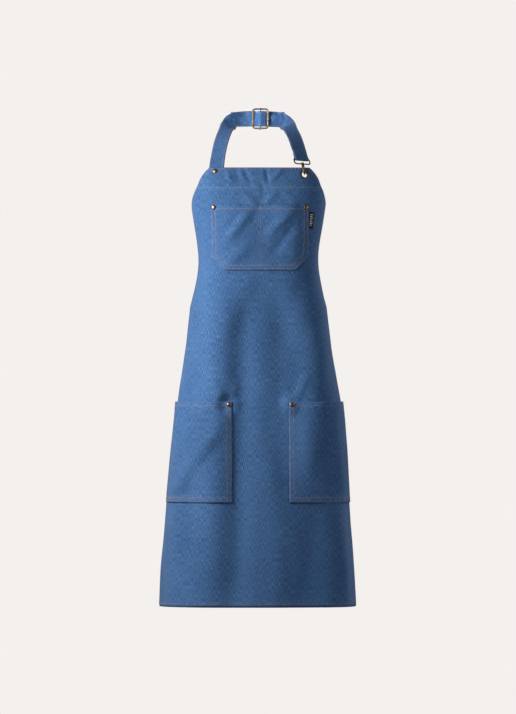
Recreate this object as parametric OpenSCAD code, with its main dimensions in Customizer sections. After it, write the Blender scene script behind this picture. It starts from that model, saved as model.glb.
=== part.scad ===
// Denim bib apron in its worn shape: a neck strap with a slide adjuster runs from one bib corner
// round the nape of the neck to a swivel snap hook, which clips into an eyelet in the other corner.
// Frame: +Z up, the front faces -Y, the wearer's left is +X. The origin is on the inner face of the
// neck strap at the nape of the neck.

/* [Panel] */
// Length of the panel from the bib's top edge to the hem
panel_len = 850; // [700:10:1030]
// Flat width of the skirt
skirt_w = 700; // [580:10:850]
// Flat width of the bib's top edge
bib_w = 196; // [160:2:240]
// Length of the armhole edges, from the bib's top edge down to the waist corners
armhole_len = 270; // [225:5:330]
// Thickness of the denim
cloth_t = 1.2; // [0.9:0.1:1.5]
// Opening between the waist corners at the back
waist_gap = 26; // [10:1:60]
// Depth of the facing behind the bib's top edge
facing_len = 40; // [30:1:55]
// How much flatter than an ellipse the front of the body is
front_flat = 0.4; // [0.2:0.05:0.5]

/* [Pockets] */
// Width of the bib pocket
bib_pocket_w = 190; // [150:2:230]
// Height of the bib pocket
bib_pocket_h = 127; // [100:1:155]
// Drop from the bib's top edge to the bib pocket's mouth
bib_pocket_drop = 72; // [60:1:90]
// Cut across the bib pocket's lower corners
bib_pocket_cut = 27; // [15:1:35]
// How far the bib pocket's mouth stands open
bib_mouth = 8; // [7:0.5:10]
// Width of each hand pocket
hand_pocket_w = 210; // [170:2:255]
// Height of each hand pocket
hand_pocket_h = 195; // [160:1:235]
// Drop from the bib's top edge to the hand pockets' mouths
hand_pocket_drop = 453; // [375:1:545]
// Distance from the centre line to a hand pocket's inner edge
hand_pocket_in = 55; // [40:1:70]
// How far a hand pocket's mouth stands open
hand_mouth = 11; // [9:0.5:14]

/* [Neck strap] */
// Width of the neck strap
strap_w = 30; // [25:0.5:36]
// Thickness of the sewn strap
strap_t = 2; // [1.6:0.1:2.6]
// Drop from the nape of the neck to the bib's top edge
neck_drop = 97; // [80:1:125]
// Half of the width of the neck
neck_r = 51; // [42:1:62]
// Distance from the nape of the neck forward to the body's upright axis
axis_fwd = 62; // [50:1:75]
// Length of strap sewn in behind the bib's top edge
strap_tuck = 30; // [20:1:34]

/* [Slide adjuster] */
// Sideways place of the adjuster on the nape
slider_x = 6; // [-10:1:10]
// Inside width of the adjuster's frame
slider_in_w = 26.5; // [25:0.5:33]
// Radius of the adjuster's wire
slider_wire_r = 1.5; // [1.2:0.05:1.8]
// Play between the strap and the adjuster's frame, at each edge
slider_play = 2.2; // [1.8:0.1:3]

/* [Snap hook] */
// Inside width of the hook's ring
hook_in_w = 9.2; // [8.4:0.1:11]
// Radius of the hook's wire
hook_wire_r = 1.4; // [1.2:0.05:1.6]
// Length of the hook from the bow's middle to the collar's top
hook_len = 19; // [18:0.5:23]
// Height of the wire loop, from its strap bar to its foot
loop_h = 10.5; // [9.5:0.5:13]
// Radius of the loop's wire
loop_wire_r = 1.25; // [1:0.05:1.5]
// Radius of the swivel shank
shank_r = 1.3; // [1.1:0.05:1.5]

/* [Eyelet and rivets] */
// Radius of the eyelet's hole
eyelet_r = 5.6; // [5.2:0.1:6.8]
// Width of the eyelet's flange
eyelet_rim = 3.4; // [2.6:0.1:4.2]
// Distance of the eyelet's centre from the end of the bib's top edge
eyelet_in = 10.5; // [9:0.5:14]
// Drop of the eyelet's centre below the bib's top edge
eyelet_drop = 14; // [13:0.5:16]
// Radius of a rivet cap
rivet_r = 4.75; // [4:0.25:5.75]

/* [Waist ties] */
// Width of the waist ties
tie_w = 25; // [20:1:30]
// Length of the ends that hang from the knot
tie_tail = 240; // [190:5:300]

/* [Hidden] */
$fn = 48;

// Clearance between two pieces that lie on each other, and between two layers of cloth
gap = 0.3;
layer_gap = 0.5;
// Clearance of a part that turns or slides on a pin or a rail
run = 0.08;

denim = [0.27, 0.38, 0.55];
denim_dark = [0.2, 0.29, 0.44];
brass = [0.45, 0.36, 0.22];
copper = [0.55, 0.38, 0.25];
label_black = [0.08, 0.08, 0.09];

// ---- The body that the apron is shaped by ----
// A level runs from 0 at the bib's top edge through 1 at the waist corners to 2 at the hem.
// Half widths and depths of the body at the levels that shape it: chest, waist, hips, hem
width_levels = [[0, 127], [0.25, 129], [0.69, 115.5], [1.1, 138.5], [1.42, 166], [1.74, 178.5], [2, 189]];
depth_levels = [[0, 60], [0.25, 78], [0.69, 80], [1.1, 90], [1.42, 113], [1.74, 126], [2, 134]];
// Share of the armhole edge's way out, against the share of its way down
armhole_levels = [[0, 0], [0.015, 0.02], [0.04, 0.05], [0.08, 0.09], [0.145, 0.143], [0.25, 0.28],
                  [0.41, 0.425], [0.56, 0.556], [0.7, 0.687], [0.85, 0.83], [1, 1]];

// Smooth curve through a list of [place, value] points
function curve(u, pts) =
    let (n = len(pts),
         i = min(n - 2, max(0, len([for (p = pts) if (p[0] <= u) 1]) - 1)),
         a = pts[i], b = pts[i + 1],
         before = pts[max(0, i - 1)], after = pts[min(n - 1, i + 2)],
         h = b[0] - a[0], f = (u - a[0]) / h,
         ma = (b[1] - before[1]) / (b[0] - before[0]),
         mb = (after[1] - a[1]) / (after[0] - a[0]))
    (2 * f^3 - 3 * f^2 + 1) * a[1] + (f^3 - 2 * f^2 + f) * h * ma
    + (3 * f^2 - 2 * f^3) * b[1] + (f^3 - f^2) * h * mb;

function level(t) = t < armhole_len ? t / armhole_len : 1 + (t - armhole_len) / (panel_len - armhole_len);

// Point of the body's outline at angle th from the front, at drop t, for a size factor k
function outline(t, th, k) =
    [k * curve(level(t), width_levels) * sin(th),
     -k * curve(level(t), depth_levels) * cos(th) * (1 + front_flat * sin(th)^2)];

// Table of [distance round from the front, angle] at drop t
turn_step = 5;
function round_table(t, k) =
    [for (i = 0, s = 0; i <= 180 / turn_step;
          s = s + norm(outline(t, (i + 1) * turn_step, k) - outline(t, i * turn_step, k)), i = i + 1)
        [s, i * turn_step]];

waist_half = round_table(armhole_len, 1)[180 / turn_step][0];
girth = (skirt_w + waist_gap) / 2 / waist_half;

// Point on the body at drop t and distance s round from the front, stood off outwards by d
function cloth_point(t, s, d, table) =
    let (th = lookup(abs(s), table),
         p = outline(t, th, girth),
         q = outline(t, th + 0.5, girth) - outline(t, th - 0.5, girth),
         n = [q[1], -q[0]] / norm(q),
         side = s < 0 ? -1 : 1)
    [side * (p[0] + d * n[0]), p[1] + d * n[1] - axis_fwd, -neck_drop - t];

function cloth_at(t, s, d) = cloth_point(t, s, d, round_table(t, girth));

// Yaw and lean of the cloth's outward normal
function cloth_yaw(t, s) = let (v = cloth_at(t, s + 2, 0) - cloth_at(t, s - 2, 0)) atan2(v[1], v[0]);
function cloth_lean(t, s) =
    let (v = cloth_at(t - 2, s, 0) - cloth_at(t + 2, s, 0), a = cloth_yaw(t, s))
    atan2(v[1] * cos(a) - v[0] * sin(a), v[2]);

function half_w(t) = t >= armhole_len ? skirt_w / 2
    : bib_w / 2 + (skirt_w - bib_w) / 2 * curve(t / armhole_len, armhole_levels);

// ---- Sheets and strips ----
// Closed solid between two grids of points with the same rows and columns
module skin(outer, inner) {
    rows = len(outer);
    cols = len(outer[0]);
    n = rows * cols;
    function at(side, r, c) = side * n + r * cols + c;
    function quad(a, b, c, d) = [[a, b, c], [a, c, d]];
    faces = [
        for (r = [0 : rows - 2], c = [0 : cols - 2])
            each quad(at(0, r, c), at(0, r, c + 1), at(0, r + 1, c + 1), at(0, r + 1, c)),
        for (r = [0 : rows - 2], c = [0 : cols - 2])
            each quad(at(1, r, c), at(1, r + 1, c), at(1, r + 1, c + 1), at(1, r, c + 1)),
        for (c = [0 : cols - 2]) each quad(at(0, 0, c), at(1, 0, c), at(1, 0, c + 1), at(0, 0, c + 1)),
        for (c = [0 : cols - 2])
            each quad(at(0, rows - 1, c), at(0, rows - 1, c + 1), at(1, rows - 1, c + 1), at(1, rows - 1, c)),
        for (r = [0 : rows - 2]) each quad(at(0, r, 0), at(0, r + 1, 0), at(1, r + 1, 0), at(1, r, 0)),
        for (r = [0 : rows - 2])
            each quad(at(0, r, cols - 1), at(1, r, cols - 1), at(1, r + 1, cols - 1), at(0, r + 1, cols - 1))
    ];
    polyhedron(points = [for (g = [outer, inner]) for (row = g) each row], faces = faces, convexity = 6);
}

// Grid of points on the body: drops, the row's left and right edges, and the stand-off
function cloth_grid(drops, left, right, cols, off) =
    [for (t = drops)
        let (table = round_table(t, girth), a = left(t), b = right(t))
        [for (c = [0 : cols])
            let (s = a + (b - a) * c / cols) cloth_point(t, s, off(t, s), table)]];

// Strip of cloth through stations, each [middle, width direction, half width, thickness], stood off
// along its normal by off; share is +0.5 on its outer face and -0.5 on its inner face
function strip_side(stations, i, off, share) =
    let (n = len(stations),
         t = stations[min(n - 1, i + 1)][0] - stations[max(0, i - 1)][0],
         normal = cross(t, stations[i][1]),
         m = stations[i][0] + (off + share * stations[i][3]) * normal / norm(normal),
         w = stations[i][1] / norm(stations[i][1]) * stations[i][2])
    [m - w, m, m + w];

module strip(stations, off) {
    last = len(stations) - 1;
    skin([for (i = [0 : last]) strip_side(stations, i, off, 0.5)],
         [for (i = [0 : last]) strip_side(stations, i, off, -0.5)]);
}

// Part set on the cloth with its own +Z pointing out of it
module on_cloth(t, s, d) {
    translate(cloth_at(t, s, d)) rotate([90 - cloth_lean(t, s), 0, cloth_yaw(t, s)]) children();
}

// ---- Panel, facing and pockets ----
eyelet_s = bib_w / 2 - eyelet_in;
strap_s = bib_w / 2 - strap_w / 2 + 1.5;
eyelet_hole_r = eyelet_r + 0.9;
facing_d = -layer_gap - cloth_t;
pocket_d = cloth_t + layer_gap + 0.1;
// Radius of the bib's curve, which a flat piece on it has to clear by the curve's rise
bib_curve_r = 125;
function rise_under(w) = w^2 / (8 * bib_curve_r);

armhole_rows = [0, 0.006, 0.015, 0.033, 0.06, 0.09, 0.13, 0.17, 0.22, 0.29, 0.36, 0.44, 0.53, 0.62, 0.71,
                0.8, 0.9];
skirt_rows = 16;
panel_drops = [
    for (f = armhole_rows) f * armhole_len,
    for (i = [0 : skirt_rows]) armhole_len + (panel_len - armhole_len) * i / skirt_rows
];

// The facing bulges round the strap that is sewn in behind the bib's top edge
function strap_bulge(s) = (strap_t + layer_gap + 2.1) * (1 - min(1, max(0, abs(s + strap_s) - strap_w / 2 - 3) / 12));

module eyelet_cut() {
    on_cloth(eyelet_drop, eyelet_s, 0) cylinder(r = eyelet_hole_r, h = 12, center = true);
}

module front_panel() {
    color(denim)
    difference() {
        skin(cloth_grid(panel_drops, function(t) -half_w(t), function(t) half_w(t), 48, function(t, s) cloth_t),
             cloth_grid(panel_drops, function(t) -half_w(t), function(t) half_w(t), 48, function(t, s) 0));
        eyelet_cut();
    }
}

module bib_facing() {
    edge = 4;
    drops = [for (i = [0 : 6]) edge + (facing_len - edge) * i / 6];
    left = function(t) edge - half_w(t);
    right = function(t) half_w(t) - edge;
    color(denim_dark)
    difference() {
        skin(cloth_grid(drops, left, right, 40, function(t, s) facing_d + cloth_t - strap_bulge(s)),
             cloth_grid(drops, left, right, 40, function(t, s) facing_d - strap_bulge(s)));
        eyelet_cut();
    }
}

// Share of the mouth's opening at distance u across a pocket, 0 to 1, and v down it, 0 to 1
function mouth_share(u, v) = sin(180 * u)^2 * max(0, 1 - v / 0.8)^1.5;

module pocket(drops, left, right, cols, stand) {
    skin(cloth_grid(drops, left, right, cols, function(t, s) pocket_d + cloth_t + stand(t, s)),
         cloth_grid(drops, left, right, cols, function(t, s) pocket_d + stand(t, s)));
}

module bib_pocket() {
    half = bib_pocket_w / 2;
    cut_t = bib_pocket_drop + bib_pocket_h - bib_pocket_cut;
    drops = [
        for (i = [0 : 8]) bib_pocket_drop + (cut_t - bib_pocket_drop) * i / 8,
        for (i = [1 : 3]) cut_t + bib_pocket_cut * i / 3
    ];
    edge = function(t) half - max(0, t - cut_t);
    stand = function(t, s) bib_mouth * mouth_share(abs(s) / half, (t - bib_pocket_drop) / bib_pocket_h);
    color(denim) pocket(drops, function(t) -edge(t), edge, 28, stand);
}

module hand_pocket(side) {
    drops = [for (i = [0 : 9]) hand_pocket_drop + hand_pocket_h * i / 9];
    near = hand_pocket_in;
    far = hand_pocket_in + hand_pocket_w;
    stand = function(t, s) hand_mouth
        * mouth_share((abs(s) - near) / hand_pocket_w, (t - hand_pocket_drop) / hand_pocket_h);
    color(denim)
    pocket(drops, function(t) side < 0 ? -far : near, function(t) side < 0 ? -near : far, 20, stand);
}

module left_hand_pocket() hand_pocket(1);
module right_hand_pocket() hand_pocket(-1);

module woven_label() {
    label_w = 15;
    label_h = 32;
    s0 = bib_pocket_w / 2 + gap;
    t0 = bib_pocket_drop + 4;
    color(label_black)
    skin(cloth_grid([t0, t0 + label_h / 2, t0 + label_h], function(t) s0, function(t) s0 + label_w, 4,
                    function(t, s) cloth_t + layer_gap + 0.9),
         cloth_grid([t0, t0 + label_h / 2, t0 + label_h], function(t) s0, function(t) s0 + label_w, 4,
                    function(t, s) cloth_t + layer_gap));
}

// ---- Snap hook: frames ----
function rot_x(a) = [[1, 0, 0], [0, cos(a), -sin(a)], [0, sin(a), cos(a)]];
function rot_y(a) = [[cos(a), 0, sin(a)], [0, 1, 0], [-sin(a), 0, cos(a)]];
function rot_z(a) = [[cos(a), -sin(a), 0], [sin(a), cos(a), 0], [0, 0, 1]];
function turned(lean, tilt, yaw) = rot_z(yaw) * rot_y(tilt) * rot_x(-lean);

module placed(m, p) {
    multmatrix([[m[0][0], m[0][1], m[0][2], p[0]],
                [m[1][0], m[1][1], m[1][2], p[1]],
                [m[2][0], m[2][1], m[2][2], p[2]],
                [0, 0, 0, 1]])
    children();
}

eyelet_yaw = cloth_yaw(eyelet_drop, eyelet_s);
eyelet_lean = cloth_lean(eyelet_drop, eyelet_s);
eyelet_axes = turned(eyelet_lean, 0, eyelet_yaw);
eyelet_mid = cloth_at(eyelet_drop, eyelet_s, facing_d / 2 + cloth_t / 2);

// The bow passes through the eyelet's hole: how far its middle is above, behind and beside the hole's
bow_lift = eyelet_r - hook_wire_r - 2.5;
shank_back = 0.4;
bow_side = 0.6;
hook_yaw = eyelet_yaw - 29;
hook_axes = turned(eyelet_lean + 2, -13, hook_yaw);
hook_at = eyelet_mid + eyelet_axes * [bow_side, shank_back, bow_lift];

boss_h = 3;
boss_mid = hook_len + gap + boss_h / 2;
head_h = 1.2;
loop_axes = turned(eyelet_lean + 14, 3, eyelet_yaw + 10);
loop_at = hook_at + hook_axes * [0, 0, boss_mid];
bar_at = loop_at + loop_axes * [0, 0, loop_h];
bar_dir = loop_axes * [1, 0, 0];
loop_top_corner = loop_wire_r + 1.1;
loop_half = strap_w / 2 + gap + loop_top_corner;

// ---- Neck strap ----
nape_y = gap + strap_t / 2;
tuck_d = -layer_gap - 0.5 - rise_under(strap_w) - strap_t / 2;
bib_end = cloth_at(0, -strap_s, tuck_d);
neck_side = [neck_r, -15.5, -5.5];
// From the side of the neck down to the end: shares of the way across, forward and down,
// then the width direction there
fall = [[0, 0, 0, [-0.13, 0.1, 0.98]], [0.15, 0.13, 0.07, [0.11, 0.39, 0.91]],
        [0.31, 0.27, 0.115, [0.36, 0.59, 0.72]], [0.465, 0.39, 0.2, [0.54, 0.62, 0.56]],
        [0.61, 0.515, 0.32, [0.68, 0.6, 0.4]], [0.75, 0.66, 0.49, [0.78, 0.57, 0.24]],
        [0.9, 0.85, 0.75, [0.84, 0.5, 0.12]]];

// Stations of a strap from the nape's middle, on side -1 or 1, down to an end point
function strap_fall(side, end, end_dir) =
    let (flip = function(v) [side * v[0], v[1], v[2]],
         half = strap_w / 2,
         e = [abs(end[0]), end[1], end[2]])
    [
        for (p = [[0.2, 0, -0.2], [0.5, 0, -1], [0.8, -1, -2], [0.93, -6, -3.5]])
            [flip([p[0] * neck_r, nape_y + p[1], p[2]]), flip([-0.02, 0, 1]), half, strap_t],
        for (f = fall)
            [flip([neck_side[0] + f[0] * (e[0] - neck_side[0]),
                   neck_side[1] + f[1] * (e[1] - neck_side[1]),
                   neck_side[2] + f[2] * (e[2] - neck_side[2])]), flip(f[3]), half, strap_t],
        [flip(e), flip(end_dir), half, strap_t]
    ];

bib_end_dir = [cos(cloth_yaw(0, strap_s)), sin(cloth_yaw(0, strap_s)), 0];
left_run = strap_fall(-1, bib_end, bib_end_dir);
right_run = strap_fall(1, bar_at - loop_axes * [0, 0, -2.4], [bar_dir[0], bar_dir[1], bar_dir[2]]);
// The stretch that is sewn in between the panel and the facing
tuck_run = [
    for (f = [1, 0.75, 0.5, 0.25])
        [cloth_at(f * strap_tuck, -strap_s, tuck_d), [-bib_end_dir[0], bib_end_dir[1], 0], strap_w / 2, strap_t]
];
nape_mid = [[0, nape_y, 0], [-0.02, 0, 1], strap_w / 2, strap_t];

function reversed(list) = [for (i = [len(list) - 1 : -1 : 0]) list[i]];

// The strap's free end lies inside the hook strap and stops at the side of the neck
tail_stations = 5;
module neck_strap() {
    color(denim)
    strip(concat(tuck_run, reversed(left_run), [nape_mid], [for (i = [0 : tail_stations - 1]) right_run[i]]),
          0);
}

module hook_strap() {
    color(denim)
    strip(concat([[[slider_x, nape_y, 0], [-0.02, 0, 1], strap_w / 2, strap_t]],
                 [for (i = [1 : len(right_run) - 1]) right_run[i]]),
          -(strap_t + gap));
}

module hook_strap_fold() {
    color(denim)
    placed(loop_axes, bar_at)
    rotate([0, 90, 0])
    difference() {
        cylinder(r = loop_wire_r + run + 1.5, h = strap_w, center = true);
        cylinder(r = loop_wire_r + run, h = strap_w + 2, center = true);
    }
}

// ---- Slide adjuster ----
fold_r = slider_wire_r + run + cloth_t;
slider_y = -gap - 0.4 - fold_r;
frame_half_w = slider_in_w / 2 + slider_wire_r;
frame_half_h = strap_w / 2 + slider_play + slider_wire_r;
frame_corner = 5;

// Closed wire frame in the XZ plane, with its own corner radius above and below
module wire_frame(half_x, half_z, top_corner, foot_corner, r) {
    for (sx = [-1, 1], sz = [-1, 1]) {
        corner = sz > 0 ? top_corner : foot_corner;
        translate([sx * (half_x - corner), 0, sz * (half_z - corner)])
        rotate([90, 0, 0])
        mirror([sx < 0 ? 1 : 0, 0, 0])
        mirror([0, sz < 0 ? 1 : 0, 0])
        rotate_extrude(angle = 90) translate([corner, 0]) circle(r = r);
        translate([0, 0, sz * half_z]) rotate([0, 90, 0])
        cylinder(r = r, h = 2 * (half_x - corner), center = true);
    }
    for (sx = [-1, 1])
        translate([sx * half_x, 0, foot_corner - half_z])
        cylinder(r = r, h = 2 * half_z - foot_corner - top_corner);
}

module slider_frame() {
    color(brass)
    translate([slider_x, slider_y, 0])
    wire_frame(frame_half_w, frame_half_h, frame_corner, frame_corner, slider_wire_r);
}

// The bar's ends are rolled round the frame's long sides, and slide on them
module slider_bar() {
    eye_r = slider_wire_r + run + 0.9;
    color(brass)
    translate([slider_x, slider_y, 0]) {
        cylinder(r = slider_wire_r, h = 2 * (frame_half_h - slider_wire_r - run - 0.4), center = true);
        for (sz = [-1, 1])
            translate([0, 0, sz * frame_half_h]) rotate([0, 90, 0])
            difference() {
                cylinder(r = eye_r, h = 2 * slider_wire_r, center = true);
                cylinder(r = slider_wire_r + run, h = 10, center = true);
            }
    }
}

module slider_bar_fold() {
    color(denim)
    translate([slider_x, slider_y, 0])
    difference() {
        cylinder(r = fold_r, h = strap_w, center = true);
        cylinder(r = slider_wire_r + run, h = strap_w + 2, center = true);
    }
}

// Stretch of the neck strap that climbs over the bar between the frame's sides
hump_half = 10;
hump_reach = frame_half_w + 3;
module strap_hump() {
    t = cloth_t + 0.2;
    base = -gap / 2 - t;
    top = slider_y - fold_r - gap - t;
    rise = function(x) abs(x) > hump_half ? base
        : base + (top - base) * (1 + cos(180 * x / hump_half)) / 2;
    xs = [-hump_reach, for (i = [-12 : 12]) i * hump_half / 12, hump_reach];
    color(denim)
    translate([slider_x, 0, 0])
    linear_extrude(height = strap_w, center = true)
    polygon(concat([for (x = xs) [x, rise(x)]], [for (x = reversed(xs)) [x, rise(x) + t]]));
}

// ---- Snap hook: parts ----
ring_r = hook_in_w / 2 + hook_wire_r;
ring_top = hook_len - 2.8;
arc_mid = ring_top - ring_r;
nose_top = ring_r + 1.9;
gate_y = ring_r - 0.3;
gate_z = arc_mid + 1.2;
pin_r = 0.7;
knuckle_r = 1.7;
cheek_in = 0.7;
cheek_out = 1.4;
lug_out = 2.3;

// Half or part of a round ring in the hook's own YZ plane, from angle a0 over a span
module ring_arc(z, a0, span) {
    translate([0, 0, z]) rotate([0, 90, 0]) rotate([0, 0, a0])
    rotate_extrude(angle = span) translate([ring_r, 0]) circle(r = hook_wire_r);
}

// Straight side of the ring, a hair thicker than the arcs that run into it
module leg(y, z0, z1) {
    translate([0, y, z0]) cylinder(r = hook_wire_r + 0.03, h = z1 - z0);
}

module hook_body() {
    color(brass)
    placed(hook_axes, hook_at) {
        difference() {
            union() {
                ring_arc(ring_r, -90, 180);
                leg(-ring_r, ring_r - 0.2, arc_mid + 0.2);
                leg(ring_r, ring_r - 0.2, nose_top);
                ring_arc(arc_mid, 150, 120);
                translate([0, 0, ring_top - hook_wire_r]) cylinder(r1 = 2.9, r2 = 2.5, h = 2 + hook_wire_r);
                translate([0, 0, ring_top + 2]) cylinder(r = 2.5, h = hook_len - ring_top - 2);
                for (sx = [-1, 1])
                    translate([sx * (cheek_out + lug_out + run) / 2, gate_y, gate_z]) rotate([0, 90, 0])
                    cylinder(r = 2.1, h = lug_out - cheek_out - run, center = true);
                for (sx = [-1, 1])
                    translate([sx * (cheek_out + lug_out + run) / 2, 3.1, arc_mid + 3.4])
                    rotate([-42, 0, 0])
                    cube([lug_out - cheek_out - run, 7, 3.2], center = true);
            }
            translate([0, gate_y, gate_z]) rotate([0, 90, 0]) cylinder(r = pin_r, h = 10, center = true);
            translate([0, gate_y + 0.6, gate_z - 0.2]) rotate([0, 90, 0])
                cylinder(r = knuckle_r + 1.3, h = 2 * (cheek_out + run), center = true);
        }
        translate([0, 0, hook_len - 0.5]) cylinder(r = shank_r, h = boss_h + 2 * gap + 1);
        translate([0, 0, hook_len + boss_h + 2 * gap]) cylinder(r1 = 2.4, r2 = 1.6, h = head_h);
    }
}

// The gate closes the ring between its knuckle and the bow's nose
module hook_gate() {
    color(brass)
    placed(hook_axes, hook_at)
    difference() {
        union() {
            for (sx = [-1, 1])
                translate([sx * (cheek_in + cheek_out) / 2, gate_y, gate_z]) rotate([0, 90, 0])
                cylinder(r = knuckle_r, h = cheek_out - cheek_in, center = true);
            translate([0, gate_y, nose_top + 0.35]) cylinder(r = cheek_out, h = gate_z - nose_top - 1.2);
            translate([0, gate_y + 1, gate_z - 1.2]) rotate([-90, 0, 0]) cylinder(r = 0.9, h = 1.6);
            translate([0, gate_y + 2.7, gate_z - 1.2]) sphere(r = 1.1);
        }
        translate([0, gate_y, gate_z]) rotate([0, 90, 0]) cylinder(r = pin_r + 0.8, h = 2 * cheek_in, center = true);
        translate([0, gate_y, gate_z]) rotate([0, 90, 0]) cylinder(r = pin_r + run, h = 10, center = true);
    }
}

module gate_pin() {
    color(brass)
    placed(hook_axes, hook_at)
    translate([0, gate_y, gate_z]) rotate([0, 90, 0]) cylinder(r = pin_r, h = 2 * lug_out + 0.4, center = true);
}

module gate_spring() {
    color("silver")
    placed(hook_axes, hook_at)
    translate([0, gate_y, gate_z]) rotate([0, 90, 0])
    difference() {
        cylinder(r = pin_r + 0.5, h = 2 * (cheek_in - 0.1), center = true);
        cylinder(r = pin_r + 0.1, h = 4, center = true);
    }
}

// Wire loop: its upper side runs through the strap's fold, and its foot carries the swivel's boss
module hook_loop() {
    boss_r = 3;
    color(brass) {
        difference() {
            placed(loop_axes, loop_at)
            translate([0, 0, loop_h / 2]) wire_frame(loop_half, loop_h / 2, loop_top_corner, 4.2, loop_wire_r);
            placed(hook_axes, loop_at) cylinder(r = boss_r - 0.3, h = boss_h + 2, center = true);
        }
        placed(hook_axes, loop_at)
        difference() {
            cylinder(r = boss_r, h = boss_h, center = true);
            cylinder(r = shank_r + run, h = 10, center = true);
        }
    }
}

// ---- Eyelet and rivets ----
flange_t = 0.6;
stack_out = cloth_t / 2 - facing_d / 2 + 0.15;
stack_in = stack_out + 0.076 + rise_under(2 * (eyelet_r + eyelet_rim));
module eyelet_front() {
    tube_r = eyelet_r + 0.5;
    rim = eyelet_r + eyelet_rim;
    color(brass)
    placed(eyelet_axes, eyelet_mid) rotate([90, 0, 0])
    rotate_extrude()
    polygon([[eyelet_r, -stack_in - flange_t - 0.3], [tube_r, -stack_in - flange_t - 0.3],
             [tube_r, stack_out], [rim, stack_out], [rim, stack_out + 0.2], [rim - 1, stack_out + flange_t],
             [eyelet_r + 0.9, stack_out + flange_t], [eyelet_r, stack_out + flange_t - 0.3]]);
}

module eyelet_back() {
    color(brass)
    placed(eyelet_axes, eyelet_mid) rotate([90, 0, 0])
    translate([0, 0, -stack_in - flange_t])
    difference() {
        cylinder(r = eyelet_r + eyelet_rim - 0.6, h = flange_t);
        translate([0, 0, -1]) cylinder(r = eyelet_r + 0.5 + run, h = 3);
    }
}

post_r = 1.5;
cap_h = 2.4;
cap_wall = 0.7;

// Domed cap, its underside at z = 0
module rivet_cap() {
    rotate_extrude()
    polygon(concat([[post_r, 0], [rivet_r, 0], [rivet_r, 0.4]],
                   [for (a = [10 : 10 : 80]) [rivet_r * cos(a), 0.4 + (cap_h - 0.4) * sin(a)]],
                   [[0, cap_h], [0, cap_h - cap_wall], [post_r, cap_h - cap_wall]]));
}

// Post with its round back plate, which sits depth below the cap
module rivet_post(depth) {
    translate([0, 0, -depth]) cylinder(r = post_r, h = depth + cap_h - cap_wall - 0.1);
    translate([0, 0, -depth - 0.8]) cylinder(r = rivet_r - 0.4, h = 0.8);
}

strap_rivet_drop = 7;
strap_rivet_s = -strap_s - 2;
strap_stack = cloth_t + 0.1 - facing_d + strap_bulge(-strap_s) + 0.2;
module strap_rivet_cap() {
    color(copper) on_cloth(strap_rivet_drop, strap_rivet_s, cloth_t + 0.1) rivet_cap();
}
module strap_rivet_post() {
    color(copper) on_cloth(strap_rivet_drop, strap_rivet_s, cloth_t + 0.1) rivet_post(strap_stack);
}

rivet_drop = 5.5;
rivet_side = 5.5;
bib_rivets = [for (side = [-1, 1]) [bib_pocket_drop + rivet_drop, side * (bib_pocket_w / 2 - rivet_side)]];
hand_rivets = [for (side = [-1, 1]) [hand_pocket_drop + rivet_drop, side * (hand_pocket_in + rivet_side)]];
// A cap stands on the highest cloth that it covers
cap_base = pocket_d + cloth_t + 0.1;
bib_lift = cap_base + bib_mouth * mouth_share(1 - 2 * (rivet_side + rivet_r) / bib_pocket_w,
                                              (rivet_drop - rivet_r) / bib_pocket_h);
hand_lift = cap_base + hand_mouth * mouth_share((rivet_side + rivet_r) / hand_pocket_w,
                                                (rivet_drop - rivet_r) / hand_pocket_h);

module bib_pocket_rivet_caps() {
    color(copper) for (p = bib_rivets) on_cloth(p[0], p[1], bib_lift) rivet_cap();
}
module bib_pocket_rivet_posts() {
    color(copper) for (p = bib_rivets) on_cloth(p[0], p[1], bib_lift) rivet_post(bib_lift + 0.2);
}
module hand_pocket_rivet_caps() {
    color(copper) for (p = hand_rivets) on_cloth(p[0], p[1], hand_lift) rivet_cap();
}
module hand_pocket_rivet_posts() {
    color(copper) for (p = hand_rivets) on_cloth(p[0], p[1], hand_lift) rivet_post(hand_lift + 0.2);
}

// ---- Waist ties ----
// Each tie is sewn inside a waist corner, runs to the knot behind the waist and hangs down from it
tie_drop = armhole_len + tie_w / 2 + 2;
tie_back = cloth_at(tie_drop, skirt_w / 2, 0)[1];
tie_sewn = 30;
module waist_tie(side, knot_w, knot_t) {
    t = cloth_t + 0.4;
    sewn_d = -layer_gap - 0.5 - t / 2;
    sewn = [for (f = [1, 0.66, 0.33, 0]) cloth_at(tie_drop, side * (skirt_w / 2 - f * tie_sewn), sewn_d)];
    z = sewn[3][2];
    y = tie_back + (side > 0 ? 0.8 : 0);
    half = tie_w / 2;
    up = [0, 0, 1];
    across = [side, 0, 0.25];
    x = waist_gap / 2;
    color(denim)
    strip([for (p = sewn) [p, up, half, t],
           [[side * 0.62 * x, tie_back - 1.4, z], up, (half + knot_w) / 2, t],
           [[side * 0.3 * x, y + 1, z - 1], [side * 0.2, 0, 1], knot_w, knot_t],
           [[-side * 0.25 * x, y + 2, z - 9], [side, 0, 0.8], knot_w, knot_t],
           [[-side * 6, y + 3, z - 16], across, half * 0.5, t],
           [[-side * 14, y + 5, z - 45], across, half, t],
           [[-side * 22, y + 6, z - 110], [side, 0, 0.1], half, t],
           [[-side * 26, y + 6, z - 110 - (tie_tail - 110) / 2], [side, 0, 0.05], half, t],
           [[-side * 28, y + 5, z - tie_tail], [side, 0, 0], half, t]],
          0);
}
module left_waist_tie() waist_tie(1, 6, 5);

// The right tie's turn round both ties is the knot
module right_waist_tie() waist_tie(-1, 9, 14);

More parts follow.
